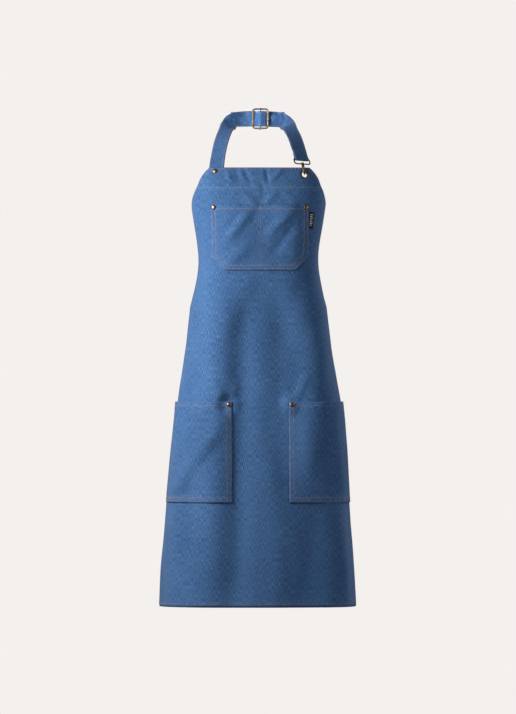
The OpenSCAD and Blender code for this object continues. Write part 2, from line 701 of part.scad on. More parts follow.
front_panel();
bib_facing();
bib_pocket();
left_hand_pocket();
right_hand_pocket();
neck_strap();
hook_strap();
hook_strap_fold();
slider_bar_fold();
strap_hump();
slider_frame();
slider_bar();
hook_loop();
hook_body();
hook_gate();
gate_pin();
gate_spring();
eyelet_front();
eyelet_back();
strap_rivet_cap();
strap_rivet_post();
bib_pocket_rivet_caps();
bib_pocket_rivet_posts();
hand_pocket_rivet_caps();
hand_pocket_rivet_posts();
woven_label();
left_waist_tie();
right_waist_tie();
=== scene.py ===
import math
from functools import lru_cache

import bmesh
import bpy
from mathutils import Matrix, Vector, noise


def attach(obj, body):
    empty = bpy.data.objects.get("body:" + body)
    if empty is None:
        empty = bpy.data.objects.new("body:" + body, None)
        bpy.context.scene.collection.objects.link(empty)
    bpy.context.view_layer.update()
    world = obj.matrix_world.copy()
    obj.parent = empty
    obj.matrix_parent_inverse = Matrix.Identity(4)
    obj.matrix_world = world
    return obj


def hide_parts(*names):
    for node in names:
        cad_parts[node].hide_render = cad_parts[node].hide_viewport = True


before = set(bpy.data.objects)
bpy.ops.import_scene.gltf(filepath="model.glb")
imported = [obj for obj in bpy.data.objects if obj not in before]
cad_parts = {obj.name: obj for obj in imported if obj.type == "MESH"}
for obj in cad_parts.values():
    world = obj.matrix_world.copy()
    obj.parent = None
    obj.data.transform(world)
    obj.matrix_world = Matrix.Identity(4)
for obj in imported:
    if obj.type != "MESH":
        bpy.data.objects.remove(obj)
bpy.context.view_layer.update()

# ---------------------------------------------------------------- sizes, in millimetres
MM = 0.001
PANEL_LEN, SKIRT_W, BIB_W, ARMHOLE_LEN = 850, 700, 196, 270
CLOTH_T, LAYER_GAP, GAP = 1.2, 0.5, 0.3
FACING_LEN = 40
WAIST_GAP = 26
NECK_DROP, NECK_R, AXIS_FWD, FRONT_FLAT = 97, 51, 62, 0.4
STRAP_W, STRAP_T, STRAP_TUCK = 30, 2, 30
POCKET_D = CLOTH_T + LAYER_GAP + 0.1
FACING_D = -LAYER_GAP - CLOTH_T
BIB_POCKET = dict(half=95, drop=72, high=127, cut=27)
HAND_POCKET = dict(near=55, far=265, drop=453, high=195)
EYELET_S, EYELET_DROP, EYELET_HOLE = 87.5, 14, 6.3
STRAP_S = BIB_W / 2 - STRAP_W / 2 + 1.5
SLIDER_X, SLIDER_Y, WIRE_R, BAR_FOLD_R = 6, -3.48, 1.5, 2.78
TIE_W, TIE_TAIL, TIE_DROP, TIE_SEWN = 25, 240, ARMHOLE_LEN + 14.5, 30
# Rows of stitches, measured in from the nearest cloth edge
OUTER_ROW, INNER_ROW, FOOT_ROW, SIDE_ROW, FACING_ROW = 2.2, 9.5, 6.6, 6, 38.5
RIVET_SPOTS = [(77.5, -89.5), (77.5, 89.5), (458.5, -60.5), (458.5, 60.5), (7, -86.5)]

WIDTHS = [(0, 127), (0.25, 129), (0.69, 115.5), (1.1, 138.5), (1.42, 166), (1.74, 178.5), (2, 189)]
DEPTHS = [(0, 60), (0.25, 78), (0.69, 80), (1.1, 90), (1.42, 113), (1.74, 126), (2, 134)]
ARMHOLE = [(0, 0), (0.015, 0.02), (0.04, 0.05), (0.08, 0.09), (0.145, 0.143), (0.25, 0.28),
           (0.41, 0.425), (0.56, 0.556), (0.7, 0.687), (0.85, 0.83), (1, 1)]


# ---------------------------------------------------------------- camera and studio
def make_camera():
    data = bpy.data.cameras.new("camera")
    cam = bpy.data.objects.new("camera", data)
    bpy.context.collection.objects.link(cam)
    distance, turn = 20.0, math.radians(-2.2)
    target = Vector((-0.001, -0.062, -0.4637))
    cam.location = target + distance * Vector((math.sin(turn), -math.cos(turn), 0))
    cam.rotation_euler = (target - cam.location).to_track_quat("-Z", "Y").to_euler()
    data.lens = 36 * distance / 1.3852
    data.clip_end = 60
    bpy.context.scene.camera = cam


make_camera()


# ---------------------------------------------------------------- shape of the worn cloth
def curve(u, pts):
    """Smooth curve through a list of (place, value) points."""
    i = min(len(pts) - 2, max(0, sum(1 for p in pts if p[0] <= u) - 1))
    a, b = pts[i], pts[i + 1]
    before, after = pts[max(0, i - 1)], pts[min(len(pts) - 1, i + 2)]
    h = b[0] - a[0]
    f = (u - a[0]) / h
    ma = (b[1] - before[1]) / (b[0] - before[0])
    mb = (after[1] - a[1]) / (after[0] - a[0])
    return ((2 * f**3 - 3 * f**2 + 1) * a[1] + (f**3 - 2 * f**2 + f) * h * ma
            + (3 * f**2 - 2 * f**3) * b[1] + (f**3 - f**2) * h * mb)


def level(t):
    return t / ARMHOLE_LEN if t < ARMHOLE_LEN else 1 + (t - ARMHOLE_LEN) / (PANEL_LEN - ARMHOLE_LEN)


def half_w(t):
    if t >= ARMHOLE_LEN:
        return SKIRT_W / 2
    return BIB_W / 2 + (SKIRT_W - BIB_W) / 2 * curve(max(0, t) / ARMHOLE_LEN, ARMHOLE)


@lru_cache(maxsize=None)
def body_size(t, k):
    u = level(t)
    return k * curve(u, WIDTHS), k * curve(u, DEPTHS)


def outline(t, th, k):
    w, d = body_size(t, k)
    return w * math.sin(th), -d * math.cos(th) * (1 + FRONT_FLAT * math.sin(th) ** 2)


TURN_STEP = 5


@lru_cache(maxsize=None)
def round_table(t, k):
    out, s = [0.0], 0.0
    for i in range(180 // TURN_STEP):
        a = outline(t, math.radians(i * TURN_STEP), k)
        b = outline(t, math.radians((i + 1) * TURN_STEP), k)
        s += math.dist(a, b)
        out.append(s)
    return out


GIRTH = (SKIRT_W + WAIST_GAP) / 2 / round_table(ARMHOLE_LEN, 1)[-1]


def cloth_point(t, s, d):
    """Place in millimetres at drop t and distance s round from the front, stood off outwards by d."""
    table = round_table(round(t, 4), GIRTH)
    a = abs(s)
    i = 0
    while i < len(table) - 2 and table[i + 1] < a:
        i += 1
    f = (a - table[i]) / (table[i + 1] - table[i])
    th = math.radians((i + min(f, 1.0)) * TURN_STEP)
    p = outline(t, th, GIRTH)
    q0, q1 = outline(t, th - 0.009, GIRTH), outline(t, th + 0.009, GIRTH)
    q = (q1[0] - q0[0], q1[1] - q0[1])
    n = math.hypot(*q)
    side = -1 if s < 0 else 1
    return Vector((side * (p[0] + d * q[1] / n), p[1] - d * q[0] / n - AXIS_FWD, -NECK_DROP - t))


def smooth(x, lo, hi):
    x = min(1.0, max(0.0, (x - lo) / (hi - lo)))
    return x * x * (3 - 2 * x)


# Soft creases: start (drop, round), end (drop, round), half width, height
CREASES = [
    ((4, -31), (29, -18), 5, -2.0), ((8, -62), (28, -57), 5, 1.8), ((2, -46), (30, -40), 6, -1.4),
    ((32, 17), (4, 12), 4.5, -1.9), ((4, 42), (30, 18), 6, 2.0), ((50, -34), (74, -5), 6, 2.2),
    ((44, 33), (70, 11), 6, 2.2), ((54, 8), (34, 4), 5, -1.4), ((60, -62), (46, -40), 6, 1.0),
    ((62, 66), (46, 44), 6, 1.0),
    ((86, -18), (140, -62), 9, 2.6), ((92, -42), (128, -70), 7, -1.8), ((88, 58), (128, 16), 9, 2.6),
    ((112, 66), (170, 24), 9, -2.2), ((150, -20), (190, -66), 10, 1.8),
    ((210, -20), (300, -60), 22, 2.2), ((205, 40), (290, 70), 20, 1.6),
    ((250, -72), (845, -104), 38, 7.0), ((262, -36), (845, -48), 24, -4.6),
    ((240, 44), (640, 50), 36, -5.0), ((560, 20), (850, 34), 30, 4.2),
    ((640, 96), (850, 110), 34, -5.0), ((520, -142), (850, -160), 36, -4.5),
    ((300, 110), (520, 120), 34, 4.5), ((300, -124), (450, -132), 26, -2.5),
    ((700, 170), (850, 182), 26, 4.0),
    ((700, -225), (850, -240), 26, 4.5), ((400, 230), (850, 250), 34, 4.0),
    ((400, -270), (850, -300), 34, 4.0),
    ((500, 305), (850, 320), 24, -4.0),
    ((450, -68), (410, -92), 6, 2.6), ((450, 68), (404, 88), 6, 2.4), ((446, -56), (420, -46), 5, 1.4),
    ((446, 56), (424, 46), 5, 1.2),
]
# Creases of the hand pockets' own cloth
POCKET_CREASES = [
    ((505, -80), (632, -185), 16, 3.6), ((545, -78), (645, -150), 12, -2.6),
    ((488, -178), (468, -95), 10, -2.0),
    ((500, 150), (600, 170), 20, 2.2), ((480, 80), (560, 96), 16, 1.2),
]


def crease_height(t, s, creases):
    h = 0.0
    for (t0, s0), (t1, s1), width, height in creases:
        dt, ds = t1 - t0, s1 - s0
        long = dt * dt + ds * ds
        f = ((t - t0) * dt + (s - s0) * ds) / long
        across = abs((t - t0) * ds - (s - s0) * dt) / math.sqrt(long)
        if across > 3 * width:
            continue
        end = 2.2 * width / math.sqrt(long)
        along = smooth(f, -end, end) * smooth(1 - f, -end, end)
        h += 1.35 * height * along * math.exp(-((across / width) ** 2))
    return h


def calm(t, s):
    """0 where metal holds the cloth, 1 away from it."""
    k = 1.0
    for rt, rs in RIVET_SPOTS:
        k *= smooth(math.hypot(t - rt, s - rs), 7, 26)
    return k * smooth(math.hypot(t - EYELET_DROP, s - EYELET_S), 18, 42)


def drape(t, s):
    """How far the cloth stands off its smooth worn shape."""
    skirt = smooth(t, 200, 520)
    side = skirt * math.exp(-(((abs(s) - 235) / 48) ** 2))
    wave = noise.noise(Vector((s / 75, t / 230, 1.7))) * (0.9 + 3.4 * skirt)
    ripple = noise.noise(Vector((s / 24, t / 70, 5.3))) * (0.55 + 0.2 * skirt)
    diag = noise.noise(Vector(((s + 0.8 * t) / 34, (t - s) / 120, 8.1))) * 0.9 * (1 - skirt)
    edge = smooth(abs(s) - half_w(t), -90, 0) * smooth(t, 330, 700)
    free = noise.noise(Vector((s / 60, t / 150, 11.0))) * 5 * edge
    folds = (wave + crease_height(t, s, CREASES)) * (1 - 0.6 * side) - 2.4 * side
    return calm(t, s) * (folds + ripple + diag + free)


def on_cloth(t, s, d):
    return cloth_point(t, s, d + drape(t, s)) * MM


def cloth_frame(t, s, d, along):
    """Matrix on the cloth: local X along the direction (drop, round), local Z out of it."""
    p = on_cloth(t, s, d)
    du = on_cloth(t, s + 1, d) - on_cloth(t, s - 1, d)
    dv = on_cloth(t + 1, s, d) - on_cloth(t - 1, s, d)
    out = dv.cross(du).normalized()
    run = (dv * along[0] + du * along[1]).normalized()
    side = out.cross(run)
    return Matrix((run, side, out)).transposed().to_4x4(), p


# ---------------------------------------------------------------- making pieces
def finish_mesh(bm, name, material, shade=True):
    mesh = bpy.data.meshes.new(name)
    bm.to_mesh(mesh)
    bm.free()
    mesh.materials.append(material)
    if shade:
        mesh.shade_smooth()
    obj = bpy.data.objects.new(name, mesh)
    bpy.context.collection.objects.link(obj)
    return obj


def cloth_piece(name, rows, left, right, cols, stand, material, thick=CLOTH_T, seam=None, hole=False,
                inside=None):
    """Cuts a flat pattern between two edges, then wraps it round the body as a sheet with thickness."""
    bm = bmesh.new()
    bmesh.ops.create_grid(bm, x_segments=cols, y_segments=len(rows) - 1, size=0.5)
    for v in bm.verts:
        across = v.co.x + 0.5
        t = rows[round((0.5 - v.co.y) * (len(rows) - 1))]
        a, b = left(t), right(t)
        v.co = Vector((a + (b - a) * across, -t, 0))
    if hole:
        cut_hole(bm, EYELET_S, EYELET_DROP, EYELET_HOLE)
    uv = bm.loops.layers.uv.new("cloth")
    for face in bm.faces:
        for loop in face.loops:
            loop[uv].uv = (loop.vert.co.x * MM, loop.vert.co.y * MM)
    mark = bm.verts.layers.float.new("seam")
    for v in bm.verts:
        t, s = -v.co.y, v.co.x
        v[mark] = seam(t, s) if seam else 0.0
        v.co = on_cloth(t, s, stand(t, s))
    obj = finish_mesh(bm, name, material)
    solid = obj.modifiers.new("thickness", "SOLIDIFY")
    solid.thickness = thick * MM
    solid.offset = -1
    if inside:
        obj.data.materials.append(inside)
        solid.material_offset = 1
    return obj


def cut_hole(bm, x, drop, r):
    """Round hole in a flat pattern."""
    mid = Vector((x, -drop, 0))
    for reach in (18, 12):
        edges = [e for e in bm.edges if ((e.verts[0].co + e.verts[1].co) / 2 - mid).length < reach]
        bmesh.ops.subdivide_edges(bm, edges=edges, cuts=1, use_grid_fill=True)
    inside = [f for f in bm.faces if (f.calc_center_median() - mid).length < r]
    bmesh.ops.delete(bm, geom=inside, context="FACES")
    for v in bm.verts:
        if v.is_boundary and (v.co - mid).length < r + 3:
            v.co = mid + (v.co - mid).normalized() * r


def steps(a, b, pitch):
    n = max(1, round((b - a) / pitch))
    return [a + (b - a) * i / n for i in range(n + 1)]


# Outline of a flattened tube of cloth, as shares of its half width and half thickness
TUBE = [(-1, 0), (-0.99, 0.75), (-0.945, 1.05), (-0.86, 0.9), (-0.5, 1), (0, 1.04), (0.5, 1), (0.86, 0.9),
        (0.945, 1.05), (0.99, 0.75), (1, 0), (0.99, -0.75), (0.945, -1.05), (0.86, -0.9), (0.5, -1),
        (0, -1.04), (-0.5, -1), (-0.86, -0.9), (-0.945, -1.05), (-0.99, -0.75), (-1, 0)]


def spline(stations, pitch):
    """Stations (middle, width direction, half width, thickness) with more between, on a smooth path."""
    rows = [[*m, *Vector(w).normalized(), h, t] for m, w, h, t in stations]
    out = []
    for i in range(len(rows) - 1):
        a, b = rows[i], rows[i + 1]
        before, after = rows[max(0, i - 1)], rows[min(len(rows) - 1, i + 2)]
        span = math.dist(a[:3], b[:3])
        ta, tb = max(1e-6, math.dist(before[:3], b[:3])), max(1e-6, math.dist(a[:3], after[:3]))
        n = max(1, round(span / pitch))
        for j in range(n + (i == len(rows) - 2)):
            f = j / n
            c = (2 * f**3 - 3 * f**2 + 1, (f**3 - 2 * f**2 + f) * span,
                 3 * f**2 - 2 * f**3, (f**3 - f**2) * span)
            out.append([c[0] * p + c[1] * (q - o) / ta + c[2] * q + c[3] * (r - p) / tb
                        for o, p, q, r in zip(before, a, b, after)])
    return out


def strap_frames(stations, pitch, off=0.0):
    """Middles, width directions and outward normals along a strap, in millimetres."""
    rows = spline(stations, pitch)
    frames, run = [], 0.0
    for i, row in enumerate(rows):
        m = Vector(row[:3])
        way = Vector(rows[min(len(rows) - 1, i + 1)][:3]) - Vector(rows[max(0, i - 1)][:3])
        w = Vector(row[3:6]).normalized()
        n = way.cross(w).normalized()
        w = n.cross(way).normalized()
        if frames:
            run += (m - Vector(rows[i - 1][:3])).length
        frames.append((m + n * off, w, n, row[6], row[7], run))
    return frames


def strap_piece(name, frames, material, rough=0.0):
    """Sewn strap through its frames, closed at both ends."""
    bm = bmesh.new()
    bmesh.ops.create_grid(bm, x_segments=len(TUBE) - 1, y_segments=len(frames) - 1, size=0.5)
    uv = bm.loops.layers.uv.new("cloth")
    mark = bm.verts.layers.float.new("seam")
    place = {}
    for v in bm.verts:
        i = round((v.co.x + 0.5) * (len(TUBE) - 1))
        j = round((v.co.y + 0.5) * (len(frames) - 1))
        place[v] = (i, j)
    for face in bm.faces:
        for loop in face.loops:
            i, j = place[loop.vert]
            a = TUBE[i]
            loop[uv].uv = (a[0] * frames[j][3] * MM + 0.4 + (0.1 if i > 10 else 0), frames[j][5] * MM)
    for v, (i, j) in place.items():
        m, w, n, half, thick, run = frames[j]
        a = TUBE[i]
        wob = rough * noise.noise(Vector((run / 16, a[0] * 1.3, 3.3)))
        v[mark] = math.exp(-(((abs(a[0]) - 0.86) / 0.1) ** 2))
        v.co = (m + w * (a[0] * half) + n * (a[1] * thick / 2 + wob)) * MM
    bmesh.ops.remove_doubles(bm, verts=bm.verts[:], dist=1e-6)
    rims = [e for e in bm.edges if e.is_boundary]
    bmesh.ops.holes_fill(bm, edges=rims, sides=0)
    bmesh.ops.recalc_face_normals(bm, faces=bm.faces[:])
    return finish_mesh(bm, name, material)


def thread_grain():
    """Points and faces of one stitch, copied along every seam."""
    bm = bmesh.new()
    bmesh.ops.create_uvsphere(bm, u_segments=6, v_segments=4, radius=1)
    bm.verts.index_update()
    shape = [v.co.copy() for v in bm.verts], [[v.index for v in f.verts] for f in bm.faces]
    bm.free()
    return shape


GRAIN = thread_grain()


class Thread:
    """A run of sewing: every stitch is a small rounded grain of thread."""

    def __init__(self, name, material):
        self.name, self.material, self.bm = name, material, bmesh.new()

    def stitch(self, frame_matrix, place, long, wide=0.95):
        shape = Matrix.Diagonal((long / 2, wide / 2, wide * 0.42)).to_4x4()
        m = Matrix.Translation(place) @ frame_matrix @ Matrix.Scale(MM, 4) @ shape
        verts = [self.bm.verts.new(m @ p) for p in GRAIN[0]]
        for face in GRAIN[1]:
            self.bm.faces.new([verts[i] for i in face])

    def row_on_cloth(self, path, stand, pitch=3.1, wide=0.95):
        """Stitches along a path of (drop, round) corners, on the cloth at its stand-off."""
        for (t0, s0), (t1, s1) in zip(path, path[1:]):
            span = math.hypot(t1 - t0, s1 - s0)
            n = max(1, round(span / pitch))
            for i in range(n):
                f = (i + 0.5) / n
                t, s = t0 + (t1 - t0) * f, s0 + (s1 - s0) * f
                m, p = cloth_frame(t, s, stand(t, s) + 0.1, ((t1 - t0) / span, (s1 - s0) / span))
                self.stitch(m, p, 0.78 * span / n, wide)

    def row_on_strap(self, frames, share, side, pitch=3.1, wide=0.8):
        """Stitches along a strap at a share of its half width, on its side +1 or -1."""
        due = pitch / 2
        for a, b in zip(frames, frames[1:]):
            while a[5] <= due < b[5]:
                f = (due - a[5]) / (b[5] - a[5])
                pa = a[0] + a[1] * share * a[3] + a[2] * side * a[4] * 0.49
                pb = b[0] + b[1] * share * b[3] + b[2] * side * b[4] * 0.49
                run = (pb - pa).normalized()
                out = (a[2] * side).normalized()
                across = out.cross(run).normalized()
                m = Matrix((run, across, run.cross(across))).transposed().to_4x4()
                self.stitch(m, pa.lerp(pb, f) * MM, 0.78 * pitch, wide)
                due += pitch

    def done(self, body="apron"):
        obj = finish_mesh(self.bm, self.name, self.material)
        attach(obj, body)
        return obj


# ---------------------------------------------------------------- finishes
def node_group(name, ins, outs):
    group = bpy.data.node_groups.new(name, "ShaderNodeTree")
    for label, kind, default in ins:
        sock = group.interface.new_socket(name=label, in_out="INPUT", socket_type=kind)
        if default is not None:
            sock.default_value = default
    for label, kind in outs:
        group.interface.new_socket(name=label, in_out="OUTPUT", socket_type=kind)
    return group, group.nodes.new("NodeGroupInput"), group.nodes.new("NodeGroupOutput")


def link(tree, a, b):
    tree.links.new(a, b)


def math_node(tree, op, a, b=None, clamp=False):
    n = tree.nodes.new("ShaderNodeMath")
    n.operation = op
    n.use_clamp = clamp
    for i, x in enumerate((a, b)):
        if x is None:
            continue
        if isinstance(x, (int, float)):
            n.inputs[i].default_value = x
        else:
            link(tree, x, n.inputs[i])
    return n.outputs[0]


def noise_node(tree, vector, scale, stretch=(1, 1, 1), detail=2.0, rough=0.5):
    place = tree.nodes.new("ShaderNodeMapping")
    place.inputs["Scale"].default_value = stretch
    link(tree, vector, place.inputs["Vector"])
    n = tree.nodes.new("ShaderNodeTexNoise")
    n.inputs["Scale"].default_value = scale
    n.inputs["Detail"].default_value = detail
    n.inputs["Roughness"].default_value = rough
    link(tree, place.outputs[0], n.inputs["Vector"])
    return n.outputs["Fac"]


def mix_color(tree, fac, a, b):
    n = tree.nodes.new("ShaderNodeMix")
    n.data_type = "RGBA"
    for sock, x in ((n.inputs[0], fac), (n.inputs[6], a), (n.inputs[7], b)):
        if isinstance(x, (int, float, tuple)):
            sock.default_value = x
        else:
            link(tree, x, sock)
    return n.outputs[2]


def remap(tree, value, lo, hi, to_lo=0.0, to_hi=1.0):
    n = tree.nodes.new("ShaderNodeMapRange")
    n.inputs[1].default_value, n.inputs[2].default_value = lo, hi
    n.inputs[3].default_value, n.inputs[4].default_value = to_lo, to_hi
    link(tree, value, n.inputs[0])
    return n.outputs[0]


def denim_group():
    """Twill of thick and thin yarns: dark in its hollows, pale on slubs and along sewn edges."""
    group, gin, gout = node_group(
        "denim_weave",
        [("Vector", "NodeSocketVector", None), ("Seam", "NodeSocketFloat", 0.0),
         ("Dark", "NodeSocketColor", (0.03, 0.06, 0.15, 1)),
         ("Mid", "NodeSocketColor", (0.07, 0.15, 0.32, 1)),
         ("Pale", "NodeSocketColor", (0.2, 0.32, 0.5, 1))],
        [("Color", "NodeSocketColor"), ("Height", "NodeSocketFloat"), ("Roughness", "NodeSocketFloat")])
    vec = gin.outputs["Vector"]
    warp = noise_node(group, vec, 1000, (1.15, 0.13, 1), 2.0, 0.5)
    weft = noise_node(group, vec, 1000, (0.16, 0.7, 1), 2.0, 0.5)
    grain = noise_node(group, vec, 1000, (1.1, 0.8, 1), 2.0, 0.6)
    cloud = noise_node(group, vec, 1000, (0.011, 0.008, 1), 3.0, 0.55)
    place = group.nodes.new("ShaderNodeMapping")
    place.inputs["Scale"].default_value = (1000, -1000, 1000)
    link(group, vec, place.inputs["Vector"])
    twill = group.nodes.new("ShaderNodeTexWave")
    twill.bands_direction = "DIAGONAL"
    twill.inputs["Scale"].default_value = 0.55
    twill.inputs["Distortion"].default_value = 1.2
    twill.inputs["Detail"].default_value = 2.0
    twill.inputs["Detail Scale"].default_value = 1.5
    link(group, place.outputs[0], twill.inputs["Vector"])
    ribs = twill.outputs["Fac"]
    slub = math_node(group, "ADD", remap(group, warp, 0.34, 0.68, 0, 0.56),
                     remap(group, weft, 0.34, 0.68, 0, 0.14))
    tone = math_node(group, "ADD", slub, remap(group, grain, 0.33, 0.67, -0.1, 0.36))
    tone = math_node(group, "ADD", tone, remap(group, ribs, 0, 1, -0.09, 0.09))
    tone = math_node(group, "ADD", tone, remap(group, cloud, 0.3, 0.7, -0.08, 0.08))
    rubbed = math_node(group, "MULTIPLY", gin.outputs["Seam"], remap(group, grain, 0.38, 0.62, -0.08, 0.26))
    tone = math_node(group, "ADD", tone, rubbed)
    low = mix_color(group, remap(group, tone, 0.05, 0.52), gin.outputs["Dark"], gin.outputs["Mid"])
    color = mix_color(group, remap(group, tone, 0.5, 1.12), low, gin.outputs["Pale"])
    pucker = noise_node(group, vec, 1000, (0.2, 0.2, 1), 1.0, 0.4)
    pucker = math_node(group, "MULTIPLY", math_node(group, "MULTIPLY", pucker, gin.outputs["Seam"]), 1.7)
    weave = math_node(group, "ADD", math_node(group, "MULTIPLY", ribs, 0.16),
                      math_node(group, "MULTIPLY", slub, 0.22))
    height = math_node(group, "ADD", weave, pucker)
    link(group, color, gout.inputs["Color"])
    link(group, height, gout.inputs["Height"])
    link(group, remap(group, tone, 0, 1, 0.92, 0.78), gout.inputs["Roughness"])
    return group


DENIM = denim_group()


def new_material(name):
    mat = bpy.data.materials.new(name)
    mat.use_nodes = True
    tree = mat.node_tree
    return mat, tree, tree.nodes["Principled BSDF"]


def add_bump(tree, height, shader, depth):
    bump = tree.nodes.new("ShaderNodeBump")
    bump.inputs["Distance"].default_value = depth
    bump.inputs["Strength"].default_value = 1.0
    link(tree, height, bump.inputs["Height"])
    link(tree, bump.outputs[0], shader.inputs["Normal"])


def denim_material(name, dark, mid, pale, bump=0.0004):
    mat, tree, shader = new_material(name)
    uv = tree.nodes.new("ShaderNodeUVMap")
    uv.uv_map = "cloth"
    seam = tree.nodes.new("ShaderNodeAttribute")
    seam.attribute_name = "seam"
    weave = tree.nodes.new("ShaderNodeGroup")
    weave.node_tree = DENIM
    for label, value in (("Dark", dark), ("Mid", mid), ("Pale", pale)):
        weave.inputs[label].default_value = (*value, 1)
    link(tree, uv.outputs[0], weave.inputs["Vector"])
    link(tree, seam.outputs["Fac"], weave.inputs["Seam"])
    link(tree, weave.outputs["Color"], shader.inputs["Base Color"])
    link(tree, weave.outputs["Roughness"], shader.inputs["Roughness"])
    shader.inputs["Specular IOR Level"].default_value = 0.18
    shader.inputs["Sheen Weight"].default_value = 0.06
    shader.inputs["Sheen Roughness"].default_value = 0.5
    add_bump(tree, weave.outputs["Height"], shader, bump)
    return mat


def metal_group():
    """Old metal: dark in random patches, rubbed brighter in between, finely pitted."""
    group, gin, gout = node_group(
        "old_metal",
        [("Dark", "NodeSocketColor", (0.08, 0.05, 0.03, 1)),
         ("Bright", "NodeSocketColor", (0.6, 0.42, 0.2, 1)),
         ("Wear", "NodeSocketFloat", 0.5)],
        [("Color", "NodeSocketColor"), ("Height", "NodeSocketFloat"), ("Roughness", "NodeSocketFloat")])
    where = group.nodes.new("ShaderNodeTexCoord").outputs["Object"]
    patch = noise_node(group, where, 260, (1, 1, 1), 4.0, 0.62)
    fine = noise_node(group, where, 1500, (1, 1, 1), 3.0, 0.6)
    tone = math_node(group, "ADD", remap(group, patch, 0.35, 0.68, -0.35, 0.5), gin.outputs["Wear"])
    tone = math_node(group, "ADD", tone, remap(group, fine, 0.35, 0.65, -0.12, 0.12), clamp=True)
    link(group, mix_color(group, tone, gin.outputs["Dark"], gin.outputs["Bright"]), gout.inputs["Color"])
    link(group, fine, gout.inputs["Height"])
    link(group, remap(group, tone, 0, 1, 0.5, 0.27), gout.inputs["Roughness"])
    return group


OLD_METAL = metal_group()


def metal_material(name, dark, bright, wear):
    mat, tree, shader = new_material(name)
    metal = tree.nodes.new("ShaderNodeGroup")
    metal.node_tree = OLD_METAL
    metal.inputs["Dark"].default_value = (*dark, 1)
    metal.inputs["Bright"].default_value = (*bright, 1)
    metal.inputs["Wear"].default_value = wear
    shader.inputs["Metallic"].default_value = 1.0
    link(tree, metal.outputs["Color"], shader.inputs["Base Color"])
    link(tree, metal.outputs["Roughness"], shader.inputs["Roughness"])
    add_bump(tree, metal.outputs["Height"], shader, 0.00008)
    return mat


def thread_material(name, light, deep):
    mat, tree, shader = new_material(name)
    where = tree.nodes.new("ShaderNodeTexCoord").outputs["Object"]
    tone = noise_node(tree, where, 90, (1, 1, 1), 2.0)
    ply = tree.nodes.new("ShaderNodeTexWave")
    ply.bands_direction = "DIAGONAL"
    ply.inputs["Scale"].default_value = 1600
    link(tree, where, ply.inputs["Vector"])
    color = mix_color(tree, remap(tree, tone, 0.35, 0.65), (*deep, 1), (*light, 1))
    link(tree, color, shader.inputs["Base Color"])
    shader.inputs["Roughness"].default_value = 0.62
    shader.inputs["Sheen Weight"].default_value = 0.2
    add_bump(tree, ply.outputs["Fac"], shader, 0.0001)
    return mat


denim = denim_material("denim_face", (0.022, 0.057, 0.142), (0.053, 0.141, 0.330), (0.150, 0.290, 0.520))
denim_inside = denim_material("denim_wrong_side", (0.12, 0.18, 0.28), (0.27, 0.35, 0.46), (0.5, 0.56, 0.62))
copper_thread = thread_material("copper_thread", (0.46, 0.24, 0.12), (0.30, 0.14, 0.07))
tan_thread = thread_material("tan_thread", (0.36, 0.28, 0.21), (0.24, 0.18, 0.14))
brass = metal_material("antique_brass", (0.060, 0.038, 0.020), (0.62, 0.44, 0.22), 0.42)
dark_brass = metal_material("darkened_brass", (0.045, 0.030, 0.020), (0.34, 0.24, 0.14), 0.30)
copper = metal_material("antique_copper", (0.075, 0.040, 0.022), (0.50, 0.31, 0.18), 0.36)
steel = metal_material("spring_steel", (0.15, 0.14, 0.13), (0.6, 0.59, 0.56), 0.6)


def label_material(name, dark, light):
    mat, tree, shader = new_material(name)
    where = tree.nodes.new("ShaderNodeTexCoord").outputs["Object"]
    rib = tree.nodes.new("ShaderNodeTexWave")
    rib.bands_direction = "Z"
    rib.inputs["Scale"].default_value = 520
    rib.inputs["Distortion"].default_value = 0.4
    link(tree, where, rib.inputs["Vector"])
    tone = math_node(tree, "MULTIPLY", rib.outputs["Fac"], noise_node(tree, where, 900))
    link(tree, mix_color(tree, tone, (*dark, 1), (*light, 1)), shader.inputs["Base Color"])
    shader.inputs["Roughness"].default_value = 0.48
    add_bump(tree, rib.outputs["Fac"], shader, 0.00015)
    return mat


label_black = label_material("label_satin", (0.008, 0.008, 0.010), (0.035, 0.035, 0.04))
label_mark = label_material("label_yarn", (0.6, 0.61, 0.64), (0.9, 0.9, 0.92))


# ---------------------------------------------------------------- panel, facing and pockets
def along_seams(*distances):
    return math.exp(-((min(abs(x) for x in distances) / 3.2) ** 2))


def panel_seam(t, s):
    inside = half_w(t) - abs(s)
    near = [t - 2, PANEL_LEN - FOOT_ROW - t, inside - SIDE_ROW]
    if abs(s) < half_w(FACING_LEN) - 8:
        near.append(t - FACING_ROW)
    return along_seams(*near)


def edge_curl(t, s):
    """The sewn edges roll in slightly."""
    near = min(half_w(t) - abs(s), PANEL_LEN - t, t + 1.2)
    return -0.7 * (1 - smooth(near, 0, 3))


PANEL_ROWS = steps(0, 24, 2) + steps(24, PANEL_LEN, 5)[1:]
panel = cloth_piece("panel_cloth", PANEL_ROWS, lambda t: -half_w(t), half_w, 136,
                    lambda t, s: CLOTH_T + edge_curl(t, s), denim, seam=panel_seam, hole=True,
                    inside=denim_inside)
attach(panel, "apron")
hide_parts("front_panel")


def strap_bulge(s):
    return (STRAP_T + LAYER_GAP + 1.6) * (1 - smooth(abs(s + STRAP_S) - STRAP_W / 2, 3, 15))


FACING_EDGE = 4
facing = cloth_piece("facing_cloth", steps(FACING_EDGE, FACING_LEN, 3), lambda t: FACING_EDGE - half_w(t),
                     lambda t: half_w(t) - FACING_EDGE, 66, lambda t, s: FACING_D + CLOTH_T - strap_bulge(s),
                     denim_inside, thick=1.0, seam=lambda t, s: along_seams(t - FACING_ROW), hole=True)
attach(facing, "apron")
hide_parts("bib_facing")

HEM_W, SIDE_HEM, HEM_D = 13, 12, -0.12


